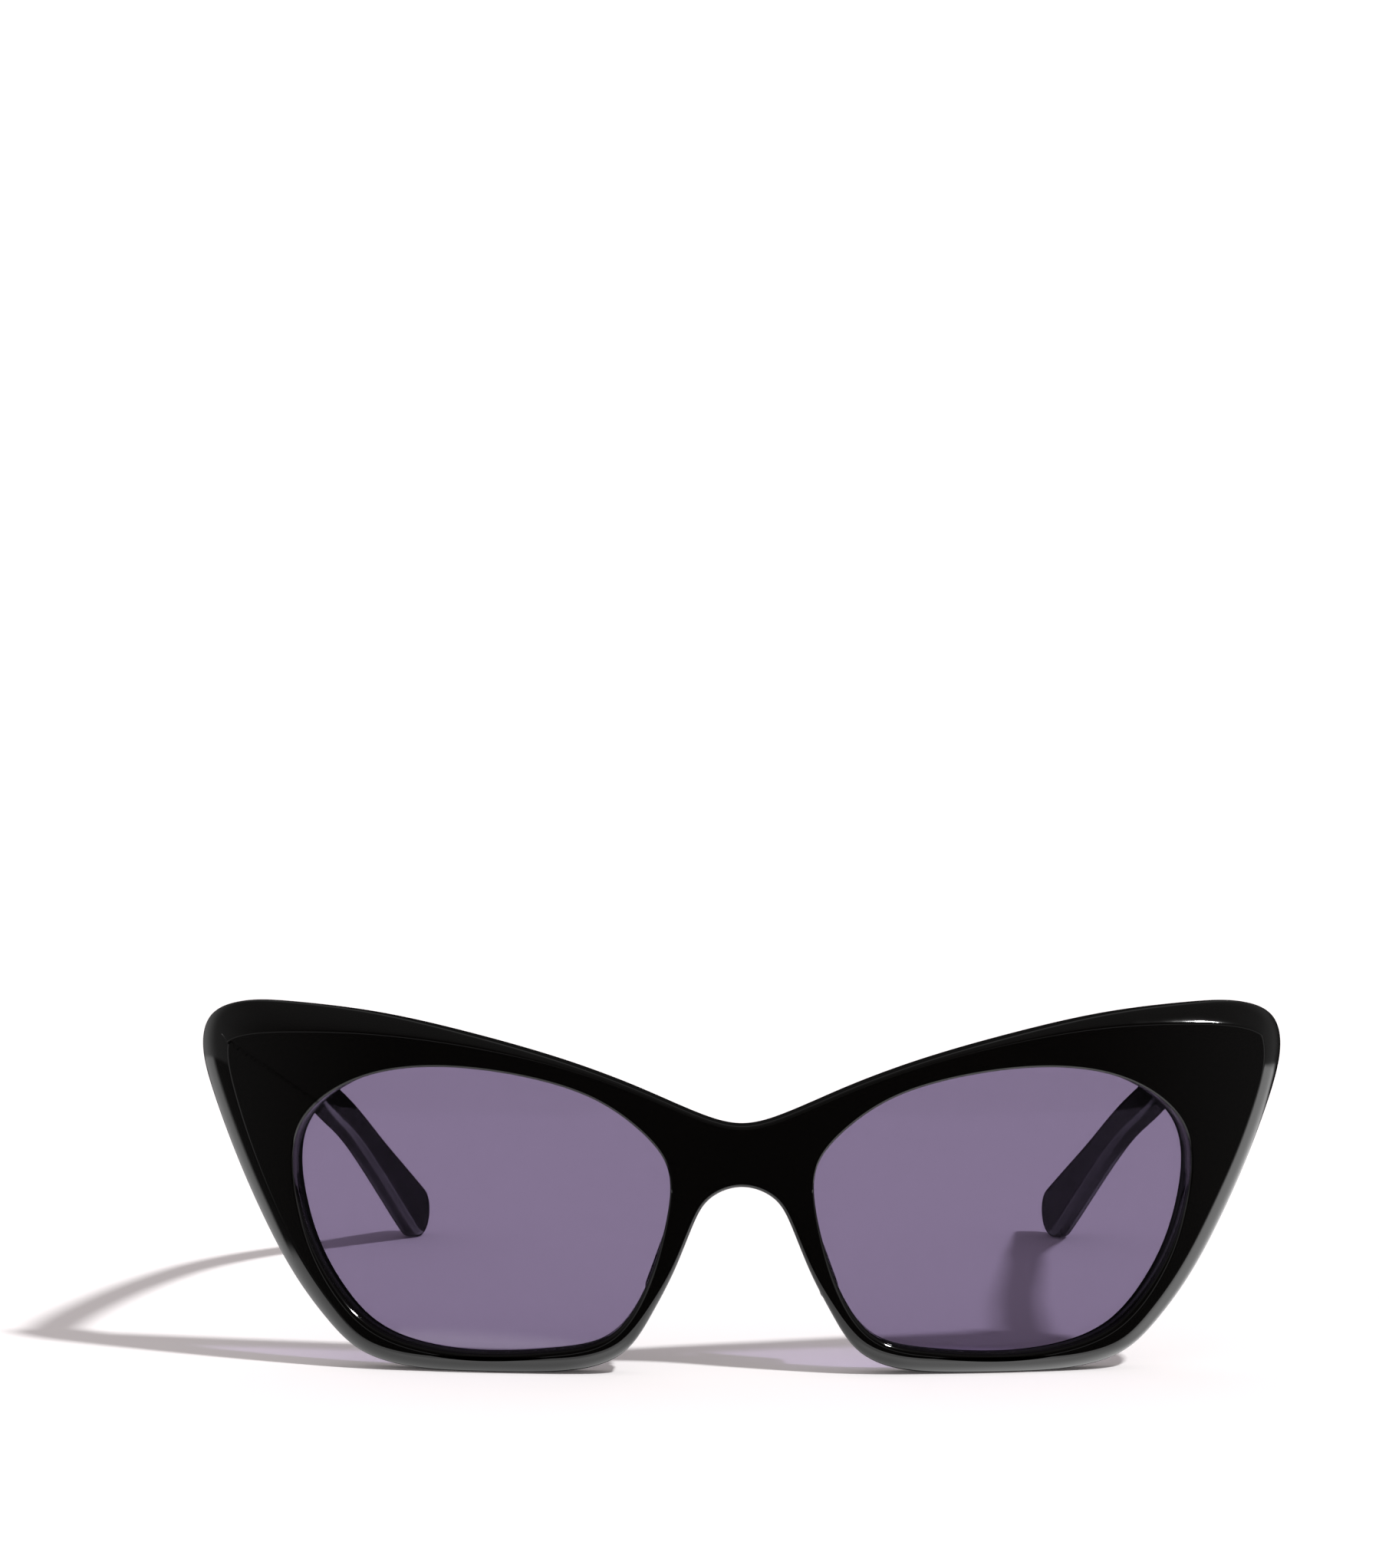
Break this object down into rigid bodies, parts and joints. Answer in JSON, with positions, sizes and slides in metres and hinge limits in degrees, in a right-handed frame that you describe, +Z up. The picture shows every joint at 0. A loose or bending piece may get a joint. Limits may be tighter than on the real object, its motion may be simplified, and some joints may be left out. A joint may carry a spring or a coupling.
{
  "type": "cat eye sunglasses",
  "caption": "Black acetate cat eye sunglasses with swept-up corners, violet-grey tinted lenses, bevelled rims and folding temples on barrel hinges.",
  "frame": {"origin": "centre of the footprint of the opened glasses, on the table under the rims and the temple tips", "axes": "+Z up, +X towards the wearer's left (the width), +Y from the front back along the temples; the lenses face -Y"},
  "size_m": [0.145, 0.1386, 0.0486],
  "materials": {
    "front_acetate": "polished black acetate",
    "temple_acetate": "polished black acetate",
    "pad_acetate": "tumbled black acetate",
    "tinted_lens": "polished violet-grey tint",
    "hinge_metal": "satin nickel silver",
    "screw_steel": "turned steel",
    "core_metal": "drawn nickel silver"
  },
  "bodies": {
    "front": {"front_frame": "front_acetate", "lens_left": "tinted_lens", "lens_right": "tinted_lens", "nose_pad_left": "pad_acetate", "nose_pad_right": "pad_acetate", "front_hinge_left": "hinge_metal", "front_hinge_right": "hinge_metal", "hinge_screw_left": "screw_steel", "hinge_screw_right": "screw_steel"},
    "left_temple": {"temple_left": "temple_acetate", "core_wire_left": "core_metal", "temple_hinge_left": "hinge_metal"},
    "right_temple": {"temple_right": "temple_acetate", "core_wire_right": "core_metal", "temple_hinge_right": "hinge_metal"}
  },
  "joints": [
    {"name": "left_temple_fold", "type": "hinge", "parent": "front", "child": "left_temple", "pos_m": [0.0644, -0.05375, 0.0425], "axis": [0, 0, 1], "range_deg": [0, 84]},
    {"name": "right_temple_fold", "type": "hinge", "parent": "front", "child": "right_temple", "pos_m": [-0.0644, -0.05375, 0.0425], "axis": [0, 0, -1], "range_deg": [0, 76]}
  ]
}
